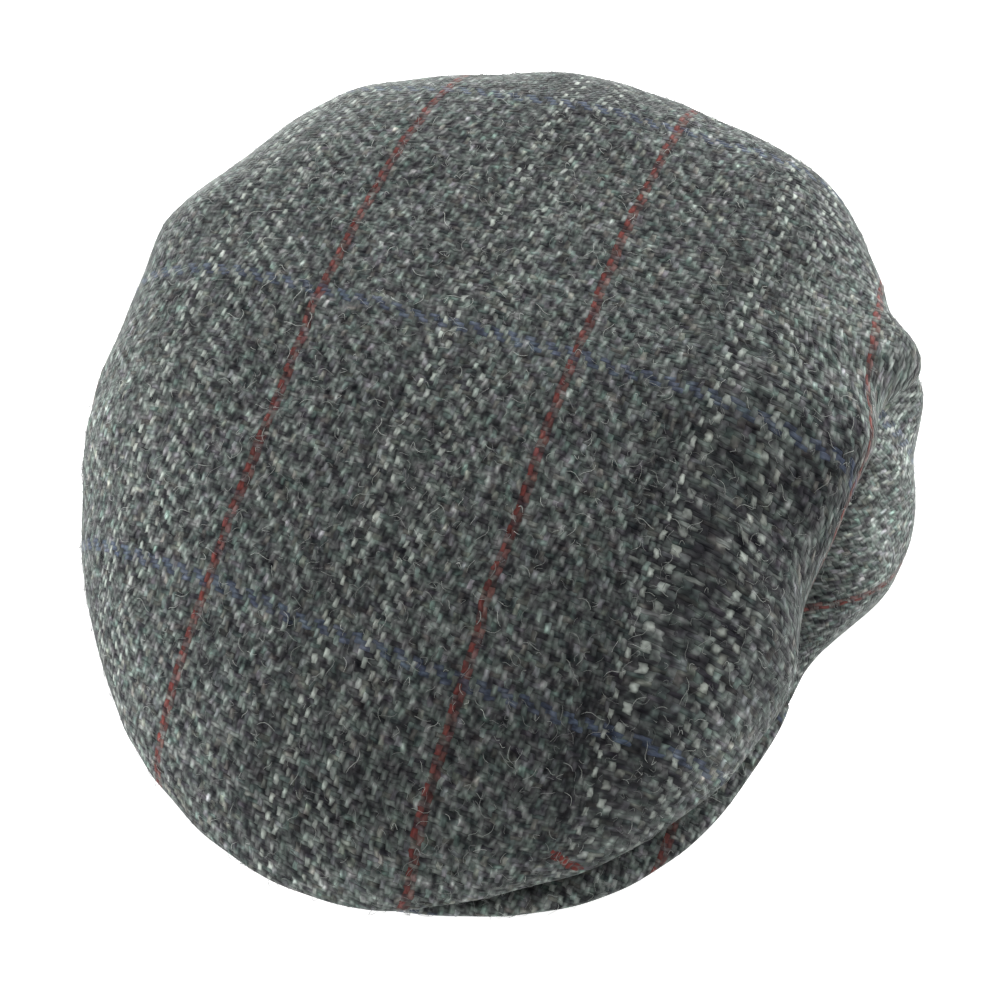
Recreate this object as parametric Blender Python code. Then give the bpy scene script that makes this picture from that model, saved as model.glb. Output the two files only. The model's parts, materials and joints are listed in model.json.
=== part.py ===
"""Flat cap of tweed, lying on its hem and peak.

The crown is described by radial sections around its middle. Each section starts at the
highest point, runs out over the top, rolls over the crown's edge and turns under to a seam.
At the front the seam lies on the peak. At the sides and back a side panel goes on from the
seam to the hem. A table holds one row for each section, and smooth curves through its
columns give the sections between.

Metres, +Z up, front of the cap towards -Y, the wearer's left towards +X.
"""

import math

import bmesh
import bpy
import numpy as np

# Crown, seen from above and from the side
CROWN_SIDE_REACH = 0.117
CROWN_FRONT_REACH = 0.1455
CROWN_BACK_REACH = 0.118
CROWN_BACK_SQUARENESS = 2.2
CROWN_HEIGHT = 0.088
CROWN_SIDE_FALL = 0.010
CROWN_BACK_FALL = 0.010
CROWN_FRONT_FALL = 0.046
EDGE_ROLL_HEIGHT = 0.020
EDGE_ROLL_FULLNESS = 5.0
EDGE_RISE = 0.010
EDGE_TURN_ANGLE = math.radians(50)

# Side panels
SEAM_HEIGHT = 0.048
PANEL_SWELL = 0.010

# Cloth
CLOTH = 0.0022
HEM_FOLD = 0.0032
HEM_FOLD_WIDTH = 0.010
SEAM_GAP = 0.0003

# Peak
PEAK_TIP_ANGLE = math.radians(72)
PEAK_ROOT_REACH = 0.078
PEAK_TIP_WIDTH = 0.006
PEAK_THICKNESS = 0.0052
PEAK_ROOT_RISE = 0.022
PEAK_EDGE_RISE = 0.009

# One row for each section. angle runs from the front (0) to the back (180), positive on the
# wearer's left. edge, seam, hem and peak are reaches as shares of the crown's plain outline
# at that angle. seam_height is a share of SEAM_HEIGHT, and over the peak the seam lies on the
# peak wherever that is higher. rise, the height of the edge above the seam, is a share of
# EDGE_RISE, and swell is a share of PANEL_SWELL.
SECTION_COLUMNS = ("angle", "edge", "rise", "seam", "seam_height", "hem", "swell", "peak")
SECTIONS = (
    (-170, 1.058, 0.80, 0.940, 1.00, 0.900, 0.20, 0.80),
    (-157, 1.026, 0.80, 0.930, 1.00, 0.890, 0.20, 0.80),
    (-135, 1.041, 0.70, 0.930, 1.00, 0.880, 0.20, 0.80),
    (-116, 1.002, 0.60, 0.910, 0.99, 0.870, 0.20, 0.80),
    (-102, 1.025, 0.50, 0.930, 0.97, 0.880, 0.20, 0.80),
    (-90, 1.002, 0.80, 0.930, 0.84, 0.890, 0.20, 0.82),
    (-80, 1.007, 1.90, 0.900, 0.48, 0.880, 0.20, 0.85),
    (-72, 1.013, 2.95, 0.860, 0.13, 0.880, 0.20, 0.88),
    (-60, 1.007, 2.00, 0.860, 0.00, 0.880, 0.20, 0.92),
    (-45, 0.992, 1.15, 0.880, 0.00, 0.880, 0.20, 0.95),
    (-22, 0.995, 0.56, 0.910, 0.00, 0.880, 0.20, 0.960),
    (0, 1.009, 0.36, 0.910, 0.00, 0.880, 0.20, 0.960),
    (22, 0.970, 0.40, 0.910, 0.00, 0.880, 0.20, 0.985),
    (45, 0.946, 0.55, 0.890, 0.00, 0.880, 0.20, 0.985),
    (60, 0.925, 0.70, 0.865, 0.00, 0.880, 0.20, 0.935),
    (72, 0.900, 0.95, 0.840, 0.13, 0.892, 0.20, 0.90),
    (80, 0.850, 1.02, 0.815, 0.34, 0.885, 0.50, 0.86),
    (90, 0.848, 1.05, 0.815, 0.71, 0.935, 0.80, 0.84),
    (101, 0.872, 0.70, 0.845, 1.00, 1.014, 0.80, 0.80),
    (107, 0.886, 0.40, 0.866, 1.09, 0.992, 0.95, 0.80),
    (112, 0.908, 0.45, 0.880, 1.08, 0.988, 0.90, 0.80),
    (117, 1.006, 0.55, 0.982, 1.02, 0.970, 0.78, 0.80),
    (124, 0.986, 0.70, 0.962, 1.01, 0.960, 0.60, 0.80),
    (131, 0.982, 0.80, 0.950, 1.01, 0.935, 0.35, 0.80),
    (152, 1.050, 0.88, 0.950, 1.01, 0.910, 0.20, 0.80),
    (170, 1.045, 0.80, 0.940, 1.00, 0.900, 0.20, 0.80),
)

# How finely the surfaces are cut into faces
PEAK_STATIONS = 32
PANEL_STATIONS = 24
OVER_ROWS = 15
UNDER_ROWS = 5
TOP_ROWS = OVER_ROWS + UNDER_ROWS
PANEL_ROWS = 9
PEAK_ROWS = 9
EDGE_ARC_STEPS = 4
CURVE_STEPS = 160

# Shape of the curves
UNDER_START_PULL = 0.55
UNDER_END_PULL = 0.40
MITRE_LIMIT = 0.6
INNER_HEIGHT_SHARE = 0.4

TWEED_GREY = (0.105, 0.113, 0.108, 1.0)
TWEED_ROUGHNESS = 0.95
CREASE_ANGLE = math.radians(50)


def column(name):
    return np.array([row[SECTION_COLUMNS.index(name)] for row in SECTIONS], float)


def around(name, angle):
    """A column of SECTIONS at any angle, by the closed cubic curve through its rows."""
    knots = np.radians(column("angle"))
    values = column(name)
    count = len(knots)
    span = np.diff(np.append(knots, knots[0] + math.tau))
    rise = np.diff(np.append(values, values[0])) / span
    matrix = np.zeros((count, count))
    right = np.zeros(count)
    for i in range(count):
        before = span[i - 1]
        matrix[i, i - 1] += span[i]
        matrix[i, i] += 2 * (before + span[i])
        matrix[i, (i + 1) % count] += before
        right[i] = 3 * (span[i] * rise[i - 1] + before * rise[i])
    slope = np.linalg.solve(matrix, right)
    turned = (np.asarray(angle, float) - knots[0]) % math.tau
    index = np.clip(np.searchsorted(knots - knots[0], turned, side="right") - 1, 0, count - 1)
    following = (index + 1) % count
    width = span[index]
    t = (turned - (knots[index] - knots[0])) / width
    return (
        values[index] * (1 + 2 * t) * (1 - t) ** 2
        + slope[index] * width * t * (1 - t) ** 2
        + values[following] * t**2 * (3 - 2 * t)
        - slope[following] * width * t**2 * (1 - t)
    )


def plain_outline(angle):
    """Reach of the crown's plain outline: an ellipse in front, a squarer one behind."""
    side = np.abs(np.sin(angle)) / CROWN_SIDE_REACH
    ahead = np.abs(np.cos(angle))
    front = (side**2 + (ahead / CROWN_FRONT_REACH) ** 2) ** (-1 / 2)
    power = CROWN_BACK_SQUARENESS
    back = (side**power + (ahead / CROWN_BACK_REACH) ** power) ** (-1 / power)
    return np.where(np.cos(angle) > 0, front, back)


def reach(name, angle):
    return around(name, angle) * plain_outline(angle)


def peak_root_reach(angle):
    """Reach of the peak's inner edge, which follows the forehead from tip to tip."""
    tip = reach("peak", PEAK_TIP_ANGLE) - PEAK_TIP_WIDTH
    share = (1 - np.cos(angle)) / (1 - math.cos(PEAK_TIP_ANGLE))
    return PEAK_ROOT_REACH + (tip - PEAK_ROOT_REACH) * share


def peak_underside(angle, distance):
    """Height of the peak's lower face: an arch whose tips stand on the surface."""
    arch = np.maximum(0, 1 - (np.sin(angle) / math.sin(PEAK_TIP_ANGLE)) ** 2)
    root = peak_root_reach(angle)
    share = (distance - root) / (reach("peak", angle) - root)
    return arch * (PEAK_ROOT_RISE + (PEAK_EDGE_RISE - PEAK_ROOT_RISE) * share)


def seam_height(angle):
    """Height of the seam, which is carried by the peak wherever it lies over it."""
    table = around("seam_height", angle) * SEAM_HEIGHT
    peak_top = PEAK_THICKNESS + SEAM_GAP
    if abs(angle) <= PEAK_TIP_ANGLE:
        peak_top += peak_underside(angle, reach("seam", angle))
    return np.maximum(table, peak_top)


def bezier(points, steps):
    t = np.linspace(0, 1, steps)[:, None]
    a, b, c, d = (np.array(p, float) for p in points)
    return a * (1 - t) ** 3 + 3 * b * t * (1 - t) ** 2 + 3 * c * t**2 * (1 - t) + d * t**3


def spaced_by_turning(points, rows):
    """The curve through points again, with its rows closer where it bends."""
    step = np.diff(points, axis=0)
    length = np.hypot(step[:, 0], step[:, 1])
    heading = np.unwrap(np.arctan2(step[:, 1], step[:, 0]))
    turning = np.abs(np.gradient(heading))
    pace = length / length.sum() + turning / turning.sum()
    along = np.append(0, np.cumsum(pace))
    wanted = np.linspace(0, along[-1], rows + 1)
    return np.stack([np.interp(wanted, along, points[:, k]) for k in (0, 1)], axis=1)


def crown_top(x, y):
    """Height of the top before it rolls over: highest in the middle, falling most to the front."""
    ahead = np.minimum(y, 0) / CROWN_FRONT_REACH
    behind = np.maximum(y, 0) / CROWN_BACK_REACH
    return (
        CROWN_HEIGHT
        - CROWN_SIDE_FALL * (x / CROWN_SIDE_REACH) ** 2
        - CROWN_FRONT_FALL * ahead**2
        - CROWN_BACK_FALL * behind**2
    )


def top_section(angle):
    """Reach and height of the top panel from the middle of the crown to its seam."""
    edge = float(reach("edge", angle))
    seam = float(reach("seam", angle))
    low = float(seam_height(angle))
    rise = float(around("rise", angle)) * EDGE_RISE
    drop = float(crown_top(edge * math.sin(angle), -edge * math.cos(angle))) - low - rise
    squareness = 2 + EDGE_ROLL_FULLNESS * EDGE_ROLL_HEIGHT / max(drop, EDGE_ROLL_HEIGHT / 2)
    share = np.sin(np.linspace(0, math.pi / 2, CURVE_STEPS))
    distance = edge * share
    fallen = drop * (1 - np.sqrt(np.maximum(0, 1 - share**squareness)))
    height = crown_top(distance * math.sin(angle), -distance * math.cos(angle)) - fallen
    over = np.stack([distance, height], axis=1)
    pull = UNDER_END_PULL * rise
    under = bezier(
        (
            (edge, low + rise),
            (edge, low + rise * (1 - UNDER_START_PULL)),
            (seam + pull * math.cos(EDGE_TURN_ANGLE), low + pull * math.sin(EDGE_TURN_ANGLE)),
            (seam, low),
        ),
        CURVE_STEPS,
    )
    over, under = spaced_by_turning(over, OVER_ROWS), spaced_by_turning(under, UNDER_ROWS)
    return np.concatenate([over, under[1:]])


def panel_section(angle):
    """Reach and height of a side panel from the seam to the hem."""
    seam = np.array([float(reach("seam", angle)), float(seam_height(angle))])
    hem = np.array([float(reach("hem", angle)), 0.0])
    t = np.linspace(0, 1, PANEL_ROWS + 1)[:, None]
    outward = np.array([1.0, 0.0])
    swell = float(around("swell", angle)) * PANEL_SWELL * min(1.0, seam[1] / SEAM_HEIGHT)
    return seam + (hem - seam) * t + outward * swell * 4 * t * (1 - t)


def inner_side(points, wall):
    """The section moved inwards by the wall, square to the cloth, with a mitre at each corner."""
    step = np.diff(points, axis=0)
    step /= np.maximum(np.hypot(step[:, 0], step[:, 1]), 1e-9)[:, None]
    inward = np.stack([step[:, 1], -step[:, 0]], axis=1)
    before = np.concatenate([inward[:1], inward])
    after = np.concatenate([inward, inward[-1:]])
    mitre = before + after
    mitre /= np.hypot(mitre[:, 0], mitre[:, 1])[:, None]
    return points + mitre * (wall / np.maximum(MITRE_LIMIT, np.sum(mitre * before, axis=1)))[:, None]


def place(angle, section):
    """Points of a radial section in space."""
    distance, height = section[:, 0], section[:, 1]
    return np.stack([distance * math.sin(angle), -distance * math.cos(angle), height], axis=1)


def cloth_section(angle):
    """Outer and inner points of the top panel, and of the side panel where there is one."""
    top = top_section(angle)
    if abs(angle) < PEAK_TIP_ANGLE - 1e-6:
        return top, inner_side(top, CLOTH), None, None
    panel = panel_section(angle)
    whole = np.concatenate([top, panel[1:]])
    wall = np.full(len(whole), CLOTH)
    folded = np.clip(2 * (1 - whole[len(top) :, 1] / HEM_FOLD_WIDTH), 0, 1)
    wall[len(top) :] += (HEM_FOLD - CLOTH) * folded
    inside = inner_side(whole, wall)
    lowest = INNER_HEIGHT_SHARE * whole[len(top) :, 1]
    inside[len(top) :, 1] = np.maximum(inside[len(top) :, 1], lowest)
    inside[-1] = whole[-1] - np.array([HEM_FOLD, 0])
    down = (panel[1] - panel[0]) / np.hypot(*(panel[1] - panel[0]))
    seam = len(top) - 1
    panel_outer, panel_inner = whole[seam:].copy(), inside[seam:].copy()
    back = (top[-2] - top[-1]) / np.hypot(*(top[-2] - top[-1]))
    top_outer, top_inner = top.copy(), inside[: seam + 1].copy()
    for line in (top_outer, top_inner):
        line[-1] += back * SEAM_GAP / 2
    for line in (panel_outer, panel_inner):
        line[0] += down * SEAM_GAP / 2
    return top_outer, top_inner, panel_outer, panel_inner


def peak_angles():
    """Angles of the sections over the peak, from its right tip to its left tip."""
    return np.linspace(-PEAK_TIP_ANGLE, PEAK_TIP_ANGLE, PEAK_STATIONS + 1)


def panel_angles(side):
    """Angles of the sections through a side panel, from the peak's tip to the back seam."""
    return side * np.linspace(PEAK_TIP_ANGLE, math.pi, PANEL_STATIONS + 1)


def gap_angle():
    """Half the gap between two pieces that meet end to end, as an angle."""
    return SEAM_GAP / 2 / CROWN_SIDE_REACH


def make_object(name, verts, faces):
    mesh = bpy.data.meshes.new(name)
    mesh.from_pydata([tuple(v) for v in verts], [], faces)
    bm = bmesh.new()
    bm.from_mesh(mesh)
    bmesh.ops.recalc_face_normals(bm, faces=bm.faces)
    bm.to_mesh(mesh)
    bm.free()
    mesh.shade_smooth()
    mesh.set_sharp_from_angle(angle=CREASE_ANGLE)
    obj = bpy.data.objects.new(name, mesh)
    bpy.context.scene.collection.objects.link(obj)
    return obj


def tweed(name):
    material = bpy.data.materials.new(name)
    material.use_nodes = True
    shader = material.node_tree.nodes["Principled BSDF"]
    shader.inputs["Base Color"].default_value = TWEED_GREY
    shader.inputs["Roughness"].default_value = TWEED_ROUGHNESS
    shader.inputs["Metallic"].default_value = 0.0
    return material


def strip(first, second, closed):
    """Quads between two rows of vertex numbers."""
    count = len(first) if closed else len(first) - 1
    return [
        (first[i], first[(i + 1) % len(first)], second[(i + 1) % len(first)], second[i])
        for i in range(count)
    ]


def make_top_panel():
    angles = np.concatenate([peak_angles(), panel_angles(1)[1:], panel_angles(-1)[-2:0:-1]])
    sections = [cloth_section(a)[:2] for a in angles]
    verts, rings, poles = [], {"outer": [], "inner": []}, {}
    for side, name in enumerate(("outer", "inner")):
        poles[name] = len(verts)
        middle = sum(s[side][0][1] for s in sections) / len(sections)
        verts.append((0, 0, middle))
        for row in range(1, TOP_ROWS + 1):
            rings[name].append(list(range(len(verts), len(verts) + len(angles))))
            verts.extend(
                place(a, s[side][row : row + 1])[0] for a, s in zip(angles, sections)
            )
    faces = []
    for name in ("outer", "inner"):
        ring = rings[name][0]
        faces += [(poles[name], ring[i], ring[(i + 1) % len(ring)]) for i in range(len(ring))]
        for first, second in zip(rings[name], rings[name][1:]):
            faces += strip(first, second, closed=True)
    faces += strip(rings["outer"][-1], rings["inner"][-1], closed=True)
    return verts, faces


def make_side_panel(side):
    """side is 1 for the wearer's left and -1 for the right."""
    angles = panel_angles(side)
    sections = [cloth_section(a)[2:] for a in angles]
    angles[0] += side * gap_angle()
    angles[-1] -= side * gap_angle()
    verts, rows = [], {"outer": [], "inner": []}
    for index, name in enumerate(("outer", "inner")):
        for row in range(PANEL_ROWS + 1):
            rows[name].append(list(range(len(verts), len(verts) + len(angles))))
            verts.extend(
                place(a, s[index][row : row + 1])[0] for a, s in zip(angles, sections)
            )
    faces = []
    for name in ("outer", "inner"):
        for first, second in zip(rows[name], rows[name][1:]):
            faces += strip(first, second, closed=False)
    for row in (0, -1):
        faces += strip(rows["outer"][row], rows["inner"][row], closed=False)
    for end in (0, -1):
        outer = [line[end] for line in rows["outer"]]
        inner = [line[end] for line in rows["inner"]]
        faces += strip(outer, inner, closed=False)
    return verts, faces


def peak_loop(angle):
    """One closed section of the peak: upper face, rounded edge, lower face, rounded root."""
    root, edge = float(peak_root_reach(angle)), float(reach("peak", angle))
    radius = min(PEAK_THICKNESS, edge - root) / 2
    along = np.linspace(root + radius, edge - radius, PEAK_ROWS)
    lower = peak_underside(angle, along)
    arc = np.linspace(math.pi / 2, -math.pi / 2, EDGE_ARC_STEPS + 1)[1:-1]
    middle = PEAK_THICKNESS / 2
    front = [
        (along[-1] + radius * math.cos(a), lower[-1] + middle + middle * math.sin(a)) for a in arc
    ]
    back = [
        (along[0] - radius * math.cos(a), lower[0] + middle + middle * math.sin(a))
        for a in arc[::-1]
    ]
    upper = list(zip(along, lower + PEAK_THICKNESS))
    under = list(zip(along[::-1], lower[::-1]))
    return np.array(upper + front + under + back)


def make_peak():
    angles = peak_angles()
    loops = [peak_loop(a) for a in angles]
    angles[0] += gap_angle()
    angles[-1] -= gap_angle()
    verts, rings = [], []
    for angle, loop in zip(angles, loops):
        rings.append(list(range(len(verts), len(verts) + len(loop))))
        verts.extend(place(angle, loop))
    faces = []
    for first, second in zip(rings, rings[1:]):
        faces += strip(first, second, closed=True)
    faces += [tuple(rings[0]), tuple(rings[-1])]
    return verts, faces


def main():
    for old in list(bpy.data.objects):
        bpy.data.objects.remove(old)
    pieces = {
        "top_panel": make_top_panel(),
        "side_panel_left": make_side_panel(1),
        "side_panel_right": make_side_panel(-1),
        "peak": make_peak(),
    }
    corners = np.concatenate([np.array(verts, float) for verts, _ in pieces.values()])
    middle = (corners.min(axis=0) + corners.max(axis=0)) / 2
    middle[2] = corners[:, 2].min()
    for name, (verts, faces) in pieces.items():
        obj = make_object(name, np.array(verts, float) - middle, faces)
        obj.data.materials.append(tweed(name))


main()
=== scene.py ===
# %% [markdown]
# A tweed flat cap
#
# The cap is four sewn pieces: a large top panel that makes the whole crown, a side panel on
# each side, and a peak, which is a curved board covered with cloth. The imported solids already
# have the right shape and place. This lesson gives each piece a finer surface in the same
# place, dresses it in tweed, and adds the loose fibres that wool always has.

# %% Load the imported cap
import json
import math

import bpy
import numpy as np
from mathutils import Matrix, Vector, noise

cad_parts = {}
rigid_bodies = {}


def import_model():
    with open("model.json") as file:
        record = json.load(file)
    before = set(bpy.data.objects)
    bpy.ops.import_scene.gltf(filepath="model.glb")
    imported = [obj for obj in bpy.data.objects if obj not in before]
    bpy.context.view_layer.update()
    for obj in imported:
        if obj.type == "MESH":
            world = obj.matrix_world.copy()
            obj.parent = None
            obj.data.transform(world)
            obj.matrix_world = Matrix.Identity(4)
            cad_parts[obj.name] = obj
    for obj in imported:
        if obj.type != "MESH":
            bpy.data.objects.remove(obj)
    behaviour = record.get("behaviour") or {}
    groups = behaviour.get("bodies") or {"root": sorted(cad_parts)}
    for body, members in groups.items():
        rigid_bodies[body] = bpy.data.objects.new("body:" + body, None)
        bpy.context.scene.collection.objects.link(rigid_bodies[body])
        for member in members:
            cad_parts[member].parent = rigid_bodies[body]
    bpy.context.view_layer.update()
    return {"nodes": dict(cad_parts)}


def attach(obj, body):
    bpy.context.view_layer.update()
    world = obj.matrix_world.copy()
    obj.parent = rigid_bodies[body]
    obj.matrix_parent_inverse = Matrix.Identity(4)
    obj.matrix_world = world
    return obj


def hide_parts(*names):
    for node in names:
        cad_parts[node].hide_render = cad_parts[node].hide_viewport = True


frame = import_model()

print("nodes:", sorted(frame["nodes"]))

# %% [markdown]
# Camera
#
# The cap lies on a table and is seen from above, in front and on the wearer's left. A camera
# could be dragged into place by hand, but numbers can be checked: a point to look at, two
# angles and a distance. A long lens keeps the perspective as mild as it is in a product shot.

# %% Camera
LOOK_AT = Vector((0.00433, -0.00844, 0.04365))
CAMERA_COMPASS, CAMERA_ABOVE = 21.5, 55.0
CAMERA_DISTANCE = 0.8245
LENS_LENGTH, SENSOR_WIDTH = 104.0, 36.0
SHIFT_ACROSS, SHIFT_UP = 0.010, -0.013
scene = bpy.context.scene


def add_object(name, data):
    obj = bpy.data.objects.new(name, data)
    scene.collection.objects.link(obj)
    return obj


def direction(compass, above):
    """Unit vector to a compass angle from the front towards the cap's left, and a height angle."""
    compass, above = math.radians(compass), math.radians(above)
    level = math.cos(above)
    return Vector((math.sin(compass) * level, -math.cos(compass) * level, math.sin(above)))


towards_camera = direction(CAMERA_COMPASS, CAMERA_ABOVE)
camera = add_object("camera", bpy.data.cameras.new("camera"))
camera.location = LOOK_AT + towards_camera * CAMERA_DISTANCE
camera.rotation_euler = towards_camera.to_track_quat("Z", "Y").to_euler()
camera.data.lens, camera.data.sensor_width = LENS_LENGTH, SENSOR_WIDTH
camera.data.shift_x, camera.data.shift_y = SHIFT_ACROSS, SHIFT_UP
scene.camera = camera
print("camera at", [round(value, 3) for value in camera.location])

# %% [markdown]
# Floor and light
#
# The cap was lit in a tent: white cloth all round, brightest behind and at the sides, and
# darker where the camera looks in. Large area lamps stand in for the walls of the tent, and
# the white floor sends light back under the rim.

# %% Floor
FLOOR_SIZE = 8.0
WHITE = (1.0, 1.0, 1.0, 1.0)
FLOOR_FINISH = {
    "Base Color": (0.90, 0.90, 0.90, 1.0), "Roughness": 0.9,
    "Emission Color": WHITE, "Emission Strength": 0.80,
}


def new_material(name, finish):
    """A material with a Principled shader that has the values of the finish."""
    material = bpy.data.materials.new(name)
    material.use_nodes = True
    shader = material.node_tree.nodes["Principled BSDF"]
    for label, value in finish.items():
        shader.inputs[label].default_value = value
    return material, material.node_tree, shader


def mesh_object(name, verts, faces):
    mesh = bpy.data.meshes.new(name)
    mesh.from_pydata([tuple(map(float, v)) for v in verts], [], faces)
    return add_object(name, mesh)


half = FLOOR_SIZE / 2
floor = mesh_object(
    "floor",
    [(-half, -half, 0), (half, -half, 0), (half, half, 0), (-half, half, 0)],
    [(0, 1, 2, 3)],
)
floor_white = new_material("floor_white", FLOOR_FINISH)[0]
floor.data.materials.append(floor_white)

# %% Lamps
# name, compass angle, height angle, watts
LAMPS = (
    ("tent_back", 180, 8, 36.0),
    ("tent_back_high", 180, 35, 18.0),
    ("tent_right", -90, 8, 41.0),
    ("tent_front_right", -60, 8, 15.0),
    ("tent_front", -30, 8, 22.0),
    ("tent_back_left_high", 135, 35, 32.0),
    ("tent_back_left", 120, 8, 14.0),
)
LAMP_DISTANCE, LAMP_WIDTH, LAMP_DEPTH = 1.8, 0.9, 0.5
LAMP_CENTRE, LAMP_AIM = Vector((0.0, 0.0, 0.10)), Vector((0.0, 0.0, 0.05))
TENT_GLOW = 0.03
for name, compass, above, watts in LAMPS:
    lamp = bpy.data.lights.new(name, "AREA")
    lamp.shape = "RECTANGLE"
    lamp.size, lamp.size_y, lamp.energy = LAMP_WIDTH, LAMP_DEPTH, watts
    obj = add_object(name, lamp)
    obj.location = LAMP_CENTRE + LAMP_DISTANCE * direction(compass, above)
    obj.rotation_euler = (obj.location - LAMP_AIM).to_track_quat("Z", "Y").to_euler()

world = bpy.data.worlds.new("tent")
world.use_nodes = True
tent = world.node_tree.nodes["Background"].inputs
tent["Color"].default_value, tent["Strength"].default_value = WHITE, TENT_GLOW
scene.world, scene.view_settings.view_transform = world, "Standard"
print("lamps:", len(LAMPS))

# %% [markdown]
# The shape of the cap
#
# A cap has no straight line and no circle, so it is described by radial sections around the
# middle of its crown. Each section runs out over the top, rolls over the edge and turns under
# to the seam, and at the sides it goes on down to the hem. A short table says how far each
# section reaches, and smooth curves through its columns give the sections between. Any number
# of sections can then be cut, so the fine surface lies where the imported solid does. Only in
# the fold on the left does the seam sit a few millimetres higher and farther out here, which
# makes the groove under the roll shallower, as soft cloth does.

# %% Sizes of the cap, in metres
CROWN_MIDDLE = np.array((0.000326, 0.010957))
CROWN_SIDE_REACH = 0.117
CROWN_FRONT_REACH = 0.1455
CROWN_BACK_REACH = 0.118
CROWN_BACK_SQUARENESS = 2.2
CROWN_HEIGHT = 0.088
CROWN_SIDE_FALL = 0.010
CROWN_BACK_FALL = 0.010
CROWN_FRONT_FALL = 0.046
EDGE_ROLL_HEIGHT = 0.020
EDGE_ROLL_FULLNESS = 5.0
EDGE_RISE = 0.010
EDGE_TURN_ANGLE = math.radians(50)
SEAM_HEIGHT = 0.048
PANEL_SWELL = 0.010
CLOTH = 0.0022
HEM_FOLD = 0.0032
HEM_FOLD_WIDTH = 0.010
PEAK_TIP_ANGLE = math.radians(72)
PEAK_ROOT_REACH = 0.078
PEAK_TIP_WIDTH = 0.006
PEAK_THICKNESS = 0.0052
PEAK_ROOT_RISE = 0.022
PEAK_EDGE_RISE = 0.009
SEAM_GAP = 0.0003

# Reaches are shares of the plain outline, heights are shares of SEAM_HEIGHT and EDGE_RISE
SECTION_COLUMNS = ("angle", "edge", "rise", "seam", "seam_height", "hem", "swell", "peak")
SECTIONS = (
    (-170, 1.058, 0.80, 0.940, 1.00, 0.900, 0.20, 0.80),
    (-157, 1.026, 0.80, 0.930, 1.00, 0.890, 0.20, 0.80),
    (-135, 1.041, 0.70, 0.930, 1.00, 0.880, 0.20, 0.80),
    (-116, 1.002, 0.60, 0.910, 0.99, 0.870, 0.20, 0.80),
    (-102, 1.025, 0.50, 0.930, 0.97, 0.880, 0.20, 0.80),
    (-90, 1.002, 0.80, 0.930, 0.84, 0.890, 0.20, 0.82),
    (-80, 1.007, 1.90, 0.900, 0.48, 0.880, 0.20, 0.85),
    (-72, 1.013, 2.95, 0.860, 0.13, 0.880, 0.20, 0.88),
    (-60, 1.007, 2.00, 0.860, 0.00, 0.880, 0.20, 0.92),
    (-45, 0.992, 1.15, 0.880, 0.00, 0.880, 0.20, 0.95),
    (-22, 0.995, 0.56, 0.910, 0.00, 0.880, 0.20, 0.960),
    (0, 1.009, 0.36, 0.910, 0.00, 0.880, 0.20, 0.960),
    (22, 0.970, 0.40, 0.910, 0.00, 0.880, 0.20, 0.985),
    (45, 0.946, 0.55, 0.890, 0.00, 0.880, 0.20, 0.985),
    (60, 0.925, 0.70, 0.865, 0.00, 0.880, 0.20, 0.935),
    (72, 0.900, 0.80, 0.852, 0.161, 0.892, 0.20, 0.90),
    (80, 0.850, 0.45, 0.838, 0.459, 0.885, 0.50, 0.86),
    (90, 0.856, 0.30, 0.848, 0.866, 0.935, 0.80, 0.84),
    (101, 0.886, 0.20, 0.879, 1.104, 1.012, 0.66, 0.80),
    (107, 0.902, 0.15, 0.896, 1.142, 1.006, 0.84, 0.80),
    (112, 0.922, 0.15, 0.914, 1.142, 0.994, 0.78, 0.80),
    (117, 1.010, 0.16, 1.003, 1.082, 0.966, 0.62, 0.80),
    (124, 0.986, 0.50, 0.972, 1.052, 0.960, 0.60, 0.80),
    (131, 0.982, 0.80, 0.950, 1.01, 0.935, 0.35, 0.80),
    (152, 1.050, 0.88, 0.950, 1.01, 0.910, 0.20, 0.80),
    (170, 1.045, 0.80, 0.940, 1.00, 0.900, 0.20, 0.80),
)
print("sections in the table:", len(SECTIONS))

# %% Smooth curves through the table


def closed_curve(knots, values):
    """Slopes of the smooth closed curve through the values."""
    count = len(knots)
    span = np.diff(np.append(knots, knots[0] + math.tau))
    rise = np.diff(np.append(values, values[0])) / span
    matrix, right = np.zeros((count, count)), np.zeros(count)
    for i in range(count):
        matrix[i, i - 1] += span[i]
        matrix[i, i] += 2 * (span[i - 1] + span[i])
        matrix[i, (i + 1) % count] += span[i - 1]
        right[i] = 3 * (span[i] * rise[i - 1] + span[i - 1] * rise[i])
    return span, np.linalg.solve(matrix, right)


KNOTS = np.radians([row[0] for row in SECTIONS])
CURVES = {}
for index, name in enumerate(SECTION_COLUMNS[1:], start=1):
    values = np.array([row[index] for row in SECTIONS], float)
    CURVES[name] = (values, *closed_curve(KNOTS, values))


def around(name, angle):
    """A column of the table at any angle."""
    values, span, slope = CURVES[name]
    turned = (np.asarray(angle, float) - KNOTS[0]) % math.tau
    index = np.searchsorted(KNOTS - KNOTS[0], turned, side="right") - 1
    index = np.clip(index, 0, len(values) - 1)
    after = (index + 1) % len(values)
    width = span[index]
    t = (turned - (KNOTS[index] - KNOTS[0])) / width
    return (
        values[index] * (1 + 2 * t) * (1 - t) ** 2
        + slope[index] * width * t * (1 - t) ** 2
        + values[after] * t**2 * (3 - 2 * t)
        - slope[after] * width * t**2 * (1 - t)
    )


def plain_outline(angle):
    side = np.abs(np.sin(angle)) / CROWN_SIDE_REACH
    ahead = np.abs(np.cos(angle))
    front = (side**2 + (ahead / CROWN_FRONT_REACH) ** 2) ** (-1 / 2)
    power = CROWN_BACK_SQUARENESS
    back = (side**power + (ahead / CROWN_BACK_REACH) ** power) ** (-1 / power)
    return np.where(np.cos(angle) > 0, front, back)


def reach(name, angle):
    return around(name, angle) * plain_outline(angle)


print("reach of the edge in front: %.1f mm" % (1000 * reach("edge", 0.0)))

# %% Peak, seam and crown heights


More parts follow.
